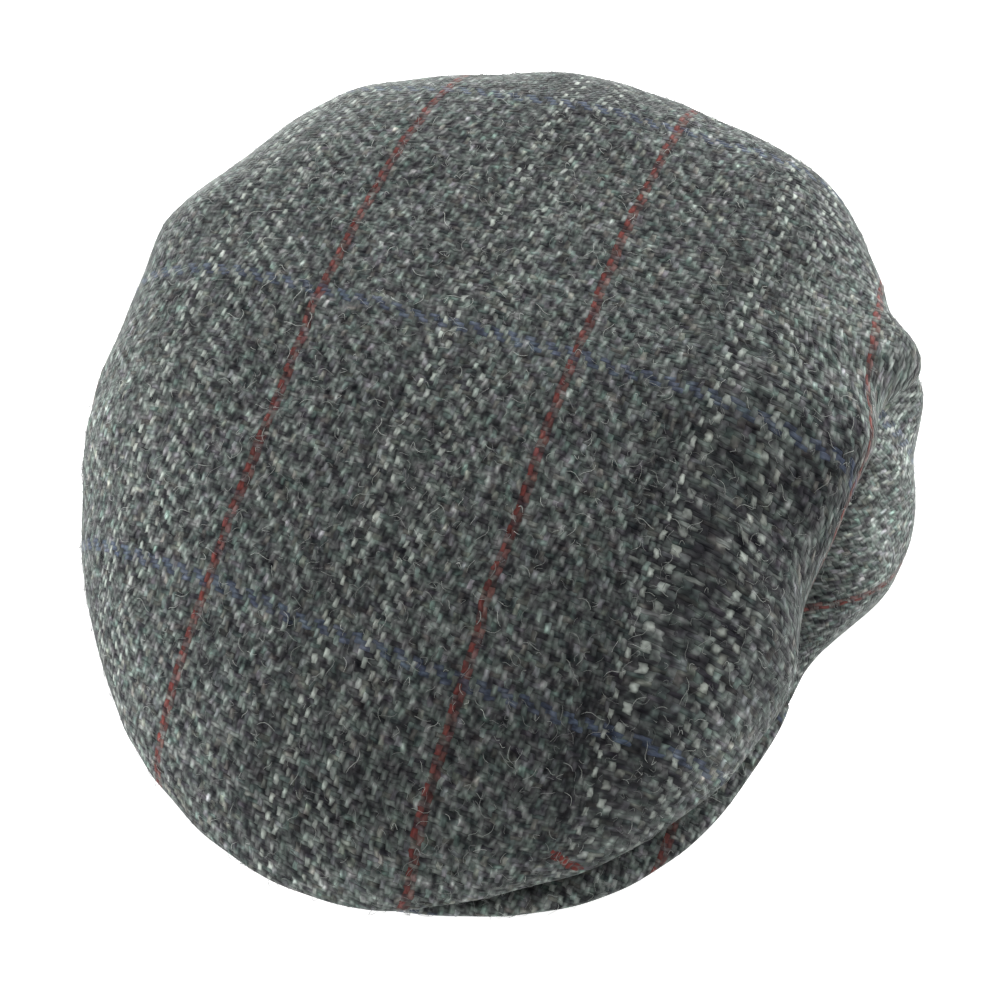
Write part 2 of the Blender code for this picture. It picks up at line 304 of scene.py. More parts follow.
def peak_root_reach(angle):
    tip = reach("peak", PEAK_TIP_ANGLE) - PEAK_TIP_WIDTH
    share = (1 - np.cos(angle)) / (1 - math.cos(PEAK_TIP_ANGLE))
    return PEAK_ROOT_REACH + (tip - PEAK_ROOT_REACH) * share


def peak_underside(angle, distance):
    arch = np.maximum(0, 1 - (np.sin(angle) / math.sin(PEAK_TIP_ANGLE)) ** 2)
    root = peak_root_reach(angle)
    share = (distance - root) / (reach("peak", angle) - root)
    return arch * (PEAK_ROOT_RISE + (PEAK_EDGE_RISE - PEAK_ROOT_RISE) * share)


def seam_height(angle):
    table = around("seam_height", angle) * SEAM_HEIGHT
    peak_top = PEAK_THICKNESS + SEAM_GAP
    if abs(angle) <= PEAK_TIP_ANGLE:
        peak_top += peak_underside(angle, reach("seam", angle))
    return float(np.maximum(table, peak_top))


def crown_top(x, y):
    ahead = np.minimum(y, 0) / CROWN_FRONT_REACH
    behind = np.maximum(y, 0) / CROWN_BACK_REACH
    return (
        CROWN_HEIGHT
        - CROWN_SIDE_FALL * (x / CROWN_SIDE_REACH) ** 2
        - CROWN_FRONT_FALL * ahead**2
        - CROWN_BACK_FALL * behind**2
    )


# %% Sections of the cloth
CURVE_STEPS = 400
OVER_BEND_SHARE, UNDER_BEND_SHARE = 0.7, 0.5
# The curve that turns under is steered from this high over the seam and this far out of it
EDGE_PULL, SEAM_PULL = 0.45, 0.40
COARSE_ROWS = (60, 20)


def steps_of(points):
    """The steps from point to point along a section, and their lengths."""
    step = np.diff(points, axis=0)
    return step, np.hypot(step[:, 0], step[:, 1])


def columns(*values):
    """The values side by side, in one row for each point."""
    return np.stack(values, axis=1)


def cut_at(points, along, wanted):
    """The section again with points at the wanted places."""
    return columns(*(np.interp(wanted, along, points[:, k]) for k in (0, 1)))


def even_rows(points, rows, bend_share):
    """The section again in even steps, drawn closer together where it bends."""
    step, length = steps_of(points)
    turning = np.abs(np.gradient(np.unwrap(np.arctan2(step[:, 1], step[:, 0]))))
    pace = length / length.sum() + bend_share * turning / turning.sum()
    along = np.append(0, np.cumsum(pace))
    return cut_at(points, along, np.linspace(0, along[-1], rows + 1))


def top_section(angle, over_rows, under_rows):
    """Reach and height of the top panel, from the middle of the crown to its seam."""
    edge, seam = float(reach("edge", angle)), float(reach("seam", angle))
    low = seam_height(angle)
    rise = float(around("rise", angle)) * EDGE_RISE
    drop = float(crown_top(edge * math.sin(angle), -edge * math.cos(angle))) - low - rise
    squareness = 2 + EDGE_ROLL_FULLNESS * EDGE_ROLL_HEIGHT / max(drop, EDGE_ROLL_HEIGHT / 2)
    share = np.sin(np.linspace(0, math.pi / 2, CURVE_STEPS))
    distance = edge * share
    fallen = drop * (1 - np.sqrt(np.maximum(0, 1 - share**squareness)))
    height = crown_top(distance * math.sin(angle), -distance * math.cos(angle)) - fallen
    over = even_rows(columns(distance, height), over_rows, OVER_BEND_SHARE)
    pull = SEAM_PULL * rise
    a = np.array((edge, low + rise))
    b = np.array((edge, low + rise * EDGE_PULL))
    c = np.array((seam + pull * math.cos(EDGE_TURN_ANGLE), low + pull * math.sin(EDGE_TURN_ANGLE)))
    d = np.array((seam, low))
    t = np.linspace(0, 1, CURVE_STEPS)[:, None]
    under = a * (1 - t) ** 3 + 3 * b * t * (1 - t) ** 2 + 3 * c * t**2 * (1 - t) + d * t**3
    return np.concatenate([over, even_rows(under, under_rows, UNDER_BEND_SHARE)[1:]])


def panel_section(angle, rows):
    """Reach and height of a side panel, from the seam to the hem."""
    seam = np.array([float(reach("seam", angle)), seam_height(angle)])
    hem = np.array([float(reach("hem", angle)), 0.0])
    t = np.linspace(0, 1, rows + 1)[:, None]
    swell = float(around("swell", angle)) * PANEL_SWELL * min(1.0, seam[1] / SEAM_HEIGHT)
    return seam + (hem - seam) * t + np.array([1.0, 0.0]) * swell * 4 * t * (1 - t)


def section_length(points):
    return np.append(0, np.cumsum(steps_of(points)[1]))


def inwards(points):
    """Unit vectors square to the section, towards the inside of the cap."""
    step, length = steps_of(points)
    step /= np.maximum(length, 1e-9)[:, None]
    normal = columns(step[:, 1], -step[:, 0])
    mitre = np.concatenate([normal[:1], normal]) + np.concatenate([normal, normal[-1:]])
    return mitre / np.hypot(mitre[:, 0], mitre[:, 1])[:, None]


def place(angle, section):
    """Points of a radial section in space."""
    return columns(
        section[:, 0] * math.sin(angle) + CROWN_MIDDLE[0],
        -section[:, 0] * math.cos(angle) + CROWN_MIDDLE[1],
        section[:, 1],
    )


front, back = (section_length(top_section(angle, *COARSE_ROWS))[-1] for angle in (0, math.pi))
print("cloth over the top, front to back: %.0f mm" % (1000 * (front + back)))

# %% [markdown]
# Shader helpers
#
# A woven cloth is easiest to draw with arithmetic: which yarn is this, is it over or under,
# where along its float. A few small helpers keep the node trees readable. A value or a socket
# can be given to any input, a plain formula becomes a row of Math nodes, and new nodes go in
# the tree that the sockets given to them are in.

# %% Shader helpers


def give(source, socket):
    """Link a socket to the source, or set its value."""
    if isinstance(source, bpy.types.NodeSocket):
        socket.id_data.links.new(source, socket)
    else:
        socket.default_value = source


def add_node(tree, kind, inputs=None, **settings):
    """Add a node with the settings and the inputs, and return its outputs."""
    made = tree.nodes.new(kind)
    for key, value in settings.items():
        setattr(made, key, value)
    for key, value in (inputs or {}).items():
        give(value, made.inputs[key])
    return made.outputs


def add_beside(kind, inputs, **settings):
    """Add a node in the tree that the sockets among its inputs are in."""
    sockets = [value for value in inputs.values() if isinstance(value, bpy.types.NodeSocket)]
    return add_node(sockets[0].id_data, kind, inputs, **settings)


def calc(operation, *values):
    return add_beside("ShaderNodeMath", dict(enumerate(values)), operation=operation)[0]


def vector_calc(operation, *values, **named):
    inputs = {**dict(enumerate(values)), **named}
    return add_beside("ShaderNodeVectorMath", inputs, operation=operation)[0]


def blend_colour(share, first, second, kind="MIX"):
    inputs = {0: share, 6: first, 7: second}
    return add_beside("ShaderNodeMix", inputs, data_type="RGBA", blend_type=kind)[2]


def noise_at(vector, scale, detail, roughness=0.5):
    return add_beside("ShaderNodeTexNoise", {
        "Vector": vector, "Scale": scale, "Detail": detail, "Roughness": roughness})


def colour_ramp(place, stops):
    """The colour at a place between the stops."""
    colour_out = add_beside("ShaderNodeValToRGB", {"Fac": place})["Color"]
    elements = colour_out.node.color_ramp.elements
    while len(elements) < len(stops):
        elements.new(0.5)
    for element, (position, colour) in zip(elements, stops):
        element.position, element.color = position, (*colour, 1.0)
    return colour_out


def new_group(name, inputs, outputs, tree_kind="ShaderNodeTree"):
    """A node group, with the sockets it reads from and the sockets it gives its results to."""
    tree = bpy.data.node_groups.new(name, tree_kind)
    for way, sockets in (("INPUT", inputs), ("OUTPUT", outputs)):
        for label, kind in sockets:
            tree.interface.new_socket(label, in_out=way, socket_type=kind)
    return tree, tree.nodes.new("NodeGroupInput").outputs, tree.nodes.new("NodeGroupOutput").inputs


# %% [markdown]
# Weave
#
# Tweed is a two-and-two twill: every yarn passes over two and under two, and each row starts
# one yarn further on, which makes the diagonal. The group below works out, from a position on
# the cloth in millimetres, which warp and weft yarn cross there and which one is on top. It
# gives the height of the rounded yarn for the bump, and numbers that other groups colour by.
# Milled wool isn't regular, so the position is shaken a little first.

# %% Weave group
FLOAT, VECTOR, COLOUR = "NodeSocketFloat", "NodeSocketVector", "NodeSocketColor"
WARP_YARNS, WEFT_YARNS = 54, 69
CHECK_WIDTH = 75.0
YARN_PITCH = CHECK_WIDTH / WARP_YARNS
TWILL_YARNS, YARNS_OVER = 4.0, 2.0
# Noise scales are in features for each millimetre, pushes in millimetres
WIDE_WANDER, WIDE_PUSH = 0.09, 3.0
FINE_WANDER, FINE_PUSH = 0.50, 2.5
HALF_GREY = (0.5, 0.5, 0.5)
FLOAT_ROUNDING = 0.6
STRAND_ALONG, STRAND_ACROSS = 0.45, 1.1
WOVEN = (
    "Warp On Top", "Height", "Warp Yarn", "Weft Yarn", "Float Random", "Tint Random", "Strand")

weave, given, result = new_group(
    "twill_weave",
    [("Cloth", VECTOR), ("Pitch", FLOAT), ("Waver", FLOAT)],
    [(label, FLOAT) for label in WOVEN],
)
wide = noise_at(given["Cloth"], WIDE_WANDER, 1.0)["Color"]
fine = noise_at(given["Cloth"], FINE_WANDER, 2.0)["Color"]
wander = vector_calc("SCALE", vector_calc("SUBTRACT", fine, HALF_GREY), Scale=FINE_PUSH)
wide_way = vector_calc("SUBTRACT", wide, HALF_GREY)
wander = vector_calc("MULTIPLY_ADD", wide_way, (WIDE_PUSH, WIDE_PUSH, 0.0), wander)
shift = vector_calc("SCALE", wander, Scale=given["Waver"])
pitch = {"X": given["Pitch"], "Y": given["Pitch"], "Z": 1.0}
in_yarns = vector_calc("DIVIDE", vector_calc("ADD", given["Cloth"], shift),
                       add_beside("ShaderNodeCombineXYZ", pitch)[0])
number = add_beside("ShaderNodeSeparateXYZ", {"Vector": vector_calc("FLOOR", in_yarns)})
part_way = add_beside("ShaderNodeSeparateXYZ", {"Vector": vector_calc("FRACTION", in_yarns)})

steps = calc("ADD", number["X"], number["Y"])
turn = calc("FLOORED_MODULO", steps, TWILL_YARNS)
warp_on_top = calc("LESS_THAN", turn, YARNS_OVER - 0.5)


def by_yarn(if_warp, if_weft):
    """One value where the warp is on top and another where the weft is."""
    return add_beside("ShaderNodeMix", {0: warp_on_top, 2: if_weft, 3: if_warp})[0]


weft_turn = calc("SUBTRACT", turn, YARNS_OVER)
along = by_yarn(
    calc("MULTIPLY", calc("ADD", turn, part_way["Y"]), 1 / YARNS_OVER),
    calc("MULTIPLY", calc("ADD", weft_turn, part_way["X"]), 1 / YARNS_OVER),
)
across = by_yarn(part_way["X"], part_way["Y"])


def hump(position):
    """1 in the middle of the yarn and 0 at its edges."""
    centred = calc("MULTIPLY_ADD", position, 2.0, -1.0)
    return calc("SUBTRACT", 1.0, calc("MULTIPLY", centred, centred))


crown_of_yarn = calc("SQRT", calc("MAXIMUM", hump(across), 0.0))
crown_of_float = calc("MULTIPLY_ADD", hump(along), FLOAT_ROUNDING, 1 - FLOAT_ROUNDING)
float_number = add_beside("ShaderNodeCombineXYZ", {
    "X": by_yarn(number["X"], number["Y"]),
    "Y": calc("FLOOR", calc("DIVIDE", steps, TWILL_YARNS)),
    "Z": warp_on_top,
})[0]
random_of_float = add_beside("ShaderNodeTexWhiteNoise", {"Vector": float_number})

strand_place = add_beside("ShaderNodeMix", {
    0: warp_on_top,
    4: vector_calc("MULTIPLY", given["Cloth"], (STRAND_ALONG, STRAND_ACROSS, 1.0)),
    5: vector_calc("MULTIPLY", given["Cloth"], (STRAND_ACROSS, STRAND_ALONG, 1.0)),
}, data_type="VECTOR")[1]
for label, value in (
    ("Warp On Top", warp_on_top),
    ("Height", calc("MULTIPLY", crown_of_yarn, crown_of_float)),
    ("Warp Yarn", number["X"]),
    ("Weft Yarn", number["Y"]),
    ("Float Random", random_of_float["Value"]),
    ("Tint Random", add_beside("ShaderNodeSeparateColor", {
        "Color": random_of_float["Color"]})["Green"]),
    ("Strand", noise_at(strand_place, 1.0, 1.0, 0.55)["Fac"]),
):
    give(value, result[label])
print("yarn pitch: %.2f mm" % YARN_PITCH)

# %% [markdown]
# Colours of the yarns
#
# Tweed yarn is spun from wool dyed in several colours, so even a plain grey one is a mixture
# of charcoal and pale fibres with a little brown, blue and green. Over that lies the check:
# pairs of red warp yarns, single pale ones between them, and pairs of blue weft yarns. The
# stripes are numbered in yarns, as a weaver's plan is, so they always fall on whole yarns.

# %% Check plan: colour, first yarn in the repeat, how many yarns, strength
WARP_PLAN = (
    ("dark", 21, 4, 0.45),
    ("pale", 25, 6, 0.10),
    ("pale", 35, 5, 0.08),
    ("pale", 27, 1, 0.78),
    ("dark", 28, 1, 0.60),
    ("pale", 29, 1, 0.58),
    ("dark", 31, 3, 0.45),
    ("pale", 36, 1, 0.60),
    ("pale", 38, 1, 0.45),
    ("red", 0, 1, 0.92),
    ("red", 1, 1, 0.62),
)
WEFT_PLAN = (
    ("pale", 34, 1, 0.35),
    ("pale", 44, 1, 0.25),
    ("blue", 0, 3, 0.60),
)
YARN_COLOURS = {
    "pale": (0.375, 0.408, 0.370),
    "dark": (0.020, 0.020, 0.023),
    "red": (0.135, 0.027, 0.023),
    "blue": (0.066, 0.086, 0.138),
}

# A short red yarn end lies slantwise on the front roll: its place, half length and half width
RED_MARK_PLACE, RED_MARK_TURN = (112.6, -133.1, 0.0), math.radians(-37.6)
RED_MARK_SIZE, RED_MARK_RAGGEDNESS = (5.4, 1.4, 1.0), 1.6

# %% Colour group
colours, given, result = new_group(
    "tweed_colours",
    [("Cloth", VECTOR), *((label, FLOAT) for label in WOVEN), ("Tone", FLOAT)],
    [("Color", COLOUR)],
)


def centred(value, spread):
    """A random value as a push of up to half the spread either way."""
    return calc("MULTIPLY", calc("SUBTRACT", value, 0.5), spread)


def clamped(operation, *values):
    """The result of a sum, held between 0 and 1."""
    return add_beside("ShaderNodeClamp", {"Value": calc(operation, *values)})[0]


# Wool lies in flocks that are longer along the warp. Scales are in features for each millimetre
FLOCK_STRETCH = (1.0, 0.62, 1.0)
FLOCK_SCALE, PATCH_SCALE, CLOUD_SCALE, DYE_SCALE = 0.54, 0.30, 0.045, 0.26
flock_place = vector_calc("MULTIPLY", given["Cloth"], FLOCK_STRETCH)
flock = noise_at(flock_place, FLOCK_SCALE, 1.0)["Fac"]
patch = noise_at(flock_place, PATCH_SCALE, 1.0)["Fac"]
cloud = noise_at(given["Cloth"], CLOUD_SCALE, 2.0)["Fac"]
tone = given["Tone"]
for value, spread in (
    (flock, 1.06), (patch, 0.66), (given["Strand"], 0.34),
    (given["Float Random"], 0.17), (given["Warp On Top"], 0.12), (cloud, 0.12),
):
    tone = calc("ADD", tone, centred(value, spread))
# Tone, and the colour of the wool at that tone
wool_colour = colour_ramp(tone, (
    (0.00, (0.006, 0.006, 0.008)),
    (0.30, (0.032, 0.033, 0.034)),
    (0.55, (0.100, 0.109, 0.102)),
    (0.80, (0.235, 0.258, 0.236)),
    (1.00, (0.500, 0.540, 0.495)),
))

# %% Tints in the mixture
# One float in ten takes each of these tints
TINTS = ((0.91, 1.03, 1.01), (1.06, 0.99, 0.93), (1.03, 0.97, 1.06))
TINTED_SHARE = 0.1
GREENISH, PURPLISH = (0.90, 1.045, 1.00, 1.0), (1.07, 0.965, 1.06, 1.0)
DYE_CONTRAST = (2.4, -0.7)
dye_noise = noise_at(given["Cloth"], DYE_SCALE, 2.0)["Fac"]
dye = calc("MULTIPLY_ADD", dye_noise, *DYE_CONTRAST)
dye_colour = blend_colour(dye, GREENISH, PURPLISH)
yarn_colour = blend_colour(1.0, wool_colour, dye_colour, "MULTIPLY")
for place_of_tint, tint in enumerate(TINTS):
    middle = (place_of_tint + 0.5) * TINTED_SHARE
    inside = calc("COMPARE", given["Tint Random"], middle, TINTED_SHARE / 2)
    tinted = blend_colour(1.0, yarn_colour, (*tint, 1.0), "MULTIPLY")
    yarn_colour = blend_colour(inside, yarn_colour, tinted)

# %% Stripes


def stripe(yarn, repeat, first, count):
    """1 on the yarns of one stripe of the plan and 0 elsewhere."""
    past_first = calc("SUBTRACT", yarn, first)
    place_in_repeat = calc("FLOORED_MODULO", past_first, repeat)
    return calc("LESS_THAN", place_in_repeat, count - 0.5)


# Each pair is a factor and an offset
PATCHY, FLEECY, FLOAT_SHADE = (3.0, -0.75), (2.2, -0.30), (0.5, -0.10)
STRAND_SHADE, EDGE_SHARPNESS = 1.7, 1.2
# How much red shows where it lies under, and how far the red and the blue come and go
RED_UNDERNEATH = 0.30
PATCHINESS = {"red": 0.45, "blue": 0.75}
weft_on_top = calc("SUBTRACT", 1.0, given["Warp On Top"])
shade_of_float = calc("MULTIPLY_ADD", given["Float Random"], *FLOAT_SHADE)
shade_of_float = calc("MULTIPLY_ADD", given["Strand"], STRAND_SHADE, shade_of_float)
patchy = clamped("MULTIPLY_ADD", flock, *PATCHY)
fleecy = clamped("MULTIPLY_ADD", flock, *FLEECY)
soft_edge = clamped("MULTIPLY", given["Height"], EDGE_SHARPNESS)
for plan, yarn, repeat, on_top in (
    (WEFT_PLAN, given["Weft Yarn"], float(WEFT_YARNS), weft_on_top),
    (WARP_PLAN, given["Warp Yarn"], float(WARP_YARNS), given["Warp On Top"]),
):
    for colour, first, count, strength in plan:
        shows = on_top
        if colour == "red":
            shows = calc("MULTIPLY_ADD", on_top, 1 - RED_UNDERNEATH, RED_UNDERNEATH)
        if colour == "pale":
            shows = calc("MULTIPLY", shows, calc("MULTIPLY", fleecy, soft_edge))
        if colour in PATCHINESS:
            share = PATCHINESS[colour]
            shows = calc("MULTIPLY", shows, calc("MULTIPLY_ADD", patchy, share, 1 - share))
        mask = calc("MULTIPLY", stripe(yarn, repeat, float(first), count), shows)
        mask = calc("MULTIPLY", mask, strength)
        shaded = vector_calc("SCALE", YARN_COLOURS[colour], Scale=shade_of_float)
        yarn_colour = blend_colour(mask, yarn_colour, shaded)

on_mark = add_beside("ShaderNodeMapping", {
    "Vector": given["Cloth"], "Location": RED_MARK_PLACE, "Rotation": (0.0, 0.0, RED_MARK_TURN),
    "Scale": RED_MARK_SIZE}, vector_type="TEXTURE")[0]
mark = add_beside("ShaderNodeVectorMath", {0: on_mark}, operation="LENGTH")["Value"]
ragged = calc("ADD", mark, centred(flock, RED_MARK_RAGGEDNESS))
marked = calc("MULTIPLY", calc("LESS_THAN", ragged, 1.0), soft_edge)
shaded = vector_calc("SCALE", YARN_COLOURS["red"], Scale=shade_of_float)
yarn_colour = blend_colour(marked, yarn_colour, shaded)
# Less light reaches the hollows between the yarns
HOLLOW_SHADE, CROWN_SHADE = 0.57, 0.94
rounded = calc("MULTIPLY", given["Height"], given["Height"])
hollow = calc("MULTIPLY_ADD", rounded, CROWN_SHADE - HOLLOW_SHADE, HOLLOW_SHADE)
give(vector_calc("SCALE", yarn_colour, Scale=hollow), result["Color"])
print("stripes in the check:", len(WARP_PLAN) + len(WEFT_PLAN))

# %% [markdown]
# Tweed
#
# Wool scatters light softly and has no gloss, but its loose fibres catch light at the rim of
# every rounded form. Roughness near one and a little sheen give that. The bump comes from the
# height of the yarns, so light picks out the floats.

# %% Tweed material
WOOL_FINISH = {
    "Roughness": 0.95, "Specular IOR Level": 0.06,
    "Sheen Weight": 0.32, "Sheen Roughness": 0.30, "Sheen Tint": (0.80, 0.86, 0.82, 1.0),
}
WAVER = 0.55
STRAND_RELIEF, RELIEF_STRENGTH, RELIEF_DEPTH = 0.6, 0.42, 0.0005
# The peak's tweed is painted a little paler than the cap's, as painted light against the shade
# under the roll
CAP_TONE, PEAK_TONE_WITH_PAINTED_LIGHT = 0.484, 0.50


def tweed(name, tone):
    material, tree, shader = new_material(name, WOOL_FINISH)
    cloth = add_node(tree, "ShaderNodeUVMap", uv_map="cloth")[0]
    woven = add_node(tree, "ShaderNodeGroup", {
        "Cloth": cloth, "Pitch": YARN_PITCH, "Waver": WAVER}, node_tree=weave)
    # The tone attribute holds painted light and shade, added to the tone of the wool
    painted_light_and_shade = add_node(tree, "ShaderNodeAttribute", attribute_name="tone")["Fac"]
    coloured = add_node(tree, "ShaderNodeGroup", {
        "Cloth": cloth, "Tone": calc("ADD", painted_light_and_shade, tone),
        **{label: woven[label] for label in WOVEN},
    }, node_tree=colours)
    give(coloured["Color"], shader.inputs["Base Color"])
    relief = calc("MULTIPLY_ADD", woven["Strand"], STRAND_RELIEF, woven["Height"])
    bump = add_beside("ShaderNodeBump", {
        "Strength": RELIEF_STRENGTH, "Distance": RELIEF_DEPTH, "Height": relief})
    give(bump[0], shader.inputs["Normal"])
    return material


cap_tweed = tweed("tweed", CAP_TONE)
# peak_tweed is the same tweed with painted light: a little paler, against the shade on the peak
peak_tweed = tweed("peak_tweed", PEAK_TONE_WITH_PAINTED_LIGHT)
print("materials:", cap_tweed.name, peak_tweed.name)

# %% [markdown]
# How the check lies on the top
#
# The top is cut from flat cloth and shrunk into a dome, so its yarns bend a little. Position
# on the flat cloth is found by walking from the middle of the crown along a section: the
# length walked and its direction give a place on the cloth. Two short tables then say where
# the red and the blue lines really run, and the cloth is shifted to put them there.

# %% Places on the top's cloth, in millimetres
# How far back on the cloth, and where two red lines, a pale one and the next red one cross
WARP_LINE_PLACES = (0.0, CHECK_WIDTH, 113.2, 2 * CHECK_WIDTH)
WARP_LINES = (
    (-160, -60.5, 31.8, 80.0, 156.6), (-142, -58.0, 29.8, 77.0, 154.6),
    (-122, -55.0, 28.2, 74.2, 152.6), (-102, -53.0, 27.0, 71.5, 150.4),
    (-77, -52.0, 25.4, 67.8, 149.0), (-40, -52.5, 23.8, 64.0, 146.0),
    (0, -53.8, 21.5, 61.8, 121.0), (22, -54.8, 20.0, 61.0, 112.0),
    (35, -55.0, 19.3, 60.0, 103.5), (44, -55.1, 19.0, 59.4, 97.5),
    (60, -55.0, 18.7, 58.0, 94.5), (85, -54.0, 18.3, 56.3, 93.0),
    (102, -53.0, 17.8, 55.2, 92.5), (120, -52.5, 17.4, 54.8, 92.0),
)
# How far to the left on the cloth, and where two neighbouring blue lines cross that column
BLUE_LINES = (
    (-110, 0.0, -87.0), (-97, -0.3, -87.5), (-55, -1.0, -92.5), (-25, -0.5, -96.0),
    (5, 0.0, -97.5), (32, 1.0, -98.0), (55, 4.0, -97.5), (75, 5.0, -94.0),
    (90, 6.5, -92.5), (106, 12.0, -92.0),
)
# The middle of the two red yarns and of the three blue ones, from the start of the repeat
FIRST_RED = YARN_PITCH
FIRST_BLUE, BLUE_REPEAT = 1.5 * YARN_PITCH, WEFT_YARNS * YARN_PITCH


def line_places(table, where):
    """Where the table's lines cross, for each value of its first column."""
    rows = np.array(table, float)
    return [np.interp(where, rows[:, 0], rows[:, k]) for k in range(1, rows.shape[1])]


def between_lines(value, lines, places):
    """Place on the check, in proportion between the two nearest lines."""
    result = places[0] + (value - lines[0]) * (places[1] - places[0]) / (lines[1] - lines[0])
    for k in range(1, len(lines) - 1):
        share = (value - lines[k]) / (lines[k + 1] - lines[k])
        result = np.where(value > lines[k], places[k] + share * (places[k + 1] - places[k]), result)
    return np.where(value > lines[-1], places[-1] + value - lines[-1], result)


def top_cloth(across, back):
    """Check coordinates for places on the top's cloth, in millimetres."""
    across, back = np.asarray(across, float), np.asarray(back, float)
    warp = FIRST_RED + between_lines(across, line_places(WARP_LINES, back), WARP_LINE_PLACES)
    upper, lower = line_places(BLUE_LINES, across)
    weft = FIRST_BLUE + BLUE_REPEAT * (back - upper) / (upper - lower)
    return warp, weft


print("on the pole: %.1f, %.1f mm" % top_cloth(0.0, 0.0))

# %% [markdown]
# Top panel
#
# One piece of cloth makes the crown. A grid bent by hand, a sculpted sphere or a cloth
# simulation could give such a form. Rows of points from the sections were chosen, because
# they keep the outline of the photographed cap. The wall is closed: outer face, a rounded
# turning at the seam, inner face.

# %% Turning at the seam
SEAM_RADIUS = 0.0009
TURNING_ANGLES = np.radians((0, 30, 60, 90))
# How far past the seam each point of the turning lies on the cloth, as a share of its radius
TURNING_PLACES = np.array((-0.8, -0.5, 0.0, 0.6))


def rounded_end(outer, inner, radius):
    """Outer rows shortened and turned in over a small radius to meet the inner rows."""
    end, before = outer[-1], outer[-2]
    back = (before - end) / np.linalg.norm(before - end)
    inward = (inner[-1] - end) / np.linalg.norm(inner[-1] - end)
    arc = [
        end + back * radius * (1 - math.sin(a)) + inward * radius * (1 - math.cos(a))
        for a in TURNING_ANGLES
    ]
    return np.concatenate([outer[:-1], arc])


# %% Wear, painted light and shade, and the cloth's own map
# How wide the dents of handling are, and how deep, in metres
HANDLING = ((0.034, 0.0012), (0.014, 0.0006))
HEM_STAYS_BELOW = 0.012
CREASE_ANGLE = math.radians(60)
# Without a seed, the noise starts from the clock
HANDLING_SEED = 7
noise.seed_set(HANDLING_SEED)


def handled(points):
    """The points pushed about a little, evenly for all pieces, as in cloth that has been worn."""
    points = np.asarray(points, float)
    pushed = points.copy()
    free = np.clip(points[:, 2] / HEM_STAYS_BELOW, 0, 1)[:, None]
    for size, depth in HANDLING:
        pushed += free * depth * np.array([noise.noise_vector(Vector(p) / size) for p in points])
    return pushed


def outward_volume(obj):
    total = 0.0
    points = [v.co for v in obj.data.vertices]
    for polygon in obj.data.polygons:
        a, b, c = (points[i] for i in polygon.vertices[:3])
        total += a.dot(b.cross(c))
        if len(polygon.vertices) == 4:
            d = points[polygon.vertices[3]]
            total += a.dot(c.cross(d))
    return total / 6


# Painted light and shade: places where the wool is painted paler or darker in place of light and
# shade: middle, reach, how much paler
PAINTED_LIGHT_PLACES = (
    ((0.087, -0.024, 0.057), 0.026, -0.15),
    ((0.073, -0.078, 0.044), 0.028, -0.18),
    ((0.066, -0.018, 0.077), 0.018, -0.11),
    ((0.098, 0.019, 0.060), 0.016, -0.18),
    ((-0.010, 0.119, 0.075), 0.024, -0.14),
    ((0.110, 0.022, 0.033), 0.022, 0.20),
    ((0.107, 0.052, 0.045), 0.018, 0.18),
    ((0.090, 0.054, 0.076), 0.017, 0.15),
    ((0.092, -0.060, 0.026), 0.016, 0.15),
    ((0.074, -0.094, 0.022), 0.015, 0.12),
    ((0.046, -0.124, 0.020), 0.016, 0.10),
    ((0.014, -0.134, 0.026), 0.016, 0.12),
    ((-0.097, -0.037, 0.062), 0.027, 0.09),
    ((0.000, -0.120, 0.045), 0.018, -0.08),
    ((0.053, -0.112, 0.013), 0.014, 0.07),
)


def cloth_object(name, verts, faces, places, outside, material):
    """A piece of worn cloth, with painted light and shade in its tone attribute.

    places: where each corner of each face lies on the flat cloth, in millimetres, for the weave.
    outside: yes or no for each face, for the fibres.
    """
    obj = mesh_object(name, handled(verts), faces)
    mesh = obj.data
    mesh.uv_layers.new(name="cloth").data.foreach_set("uv", np.asarray(places, np.float32).ravel())
    if outward_volume(obj) < 0:
        mesh.flip_normals()
    mesh.attributes.new("outside", "BOOLEAN", "FACE").data.foreach_set("value", outside)
    mesh.shade_smooth()
    mesh.set_sharp_from_angle(angle=CREASE_ANGLE)
    points = np.array([v.co for v in mesh.vertices])
    # Painted light and shade: the tone is raised or lowered around each place
    lift = np.zeros(len(points))
    for middle, far, paler in PAINTED_LIGHT_PLACES:
        lift += paler * np.exp(-np.sum((points - middle) ** 2, axis=1) / far**2)
    lift = lift.astype(np.float32)
    mesh.attributes.new("tone", "FLOAT", "POINT").data.foreach_set("value", lift)
    mesh.materials.append(material)
    return obj


# %% Top panel
TOP_STATIONS = 360
TOP_OVER_ROWS, TOP_UNDER_ROWS = 84, 26

stations = -math.pi + np.arange(TOP_STATIONS) * math.tau / TOP_STATIONS
sections = []
for angle in stations:
    outer = top_section(angle, TOP_OVER_ROWS, TOP_UNDER_ROWS)
    inner = outer + inwards(outer) * CLOTH
    walked = section_length(outer)
    turned = rounded_end(outer, inner, SEAM_RADIUS)
    walked_out = np.append(walked[:-1], walked[-1] + TURNING_PLACES * SEAM_RADIUS)
    sections.append((turned, walked_out, inner[::-2], walked[::-2]))

pole_height = np.mean([s[0][0][1] for s in sections])
outer_rows, inner_rows = len(sections[0][0]) - 1, len(sections[0][2]) - 1
# Outer rows, then inner rows: each point, the length walked to it on the cloth, the direction
found = [((*CROWN_MIDDLE, pole_height), 0.0, 0.0)]
for part, lengths, rows in ((0, 1, range(1, outer_rows + 1)), (2, 3, range(inner_rows))):
    for row in rows:
        for angle, section in zip(stations, sections):
            point = place(angle, section[part][row:row + 1])[0]
            found.append((point, section[lengths][row], angle))
found.append(((*CROWN_MIDDLE, pole_height - CLOTH), 0.0, 0.0))
verts, walked_at, angle_at = zip(*found)

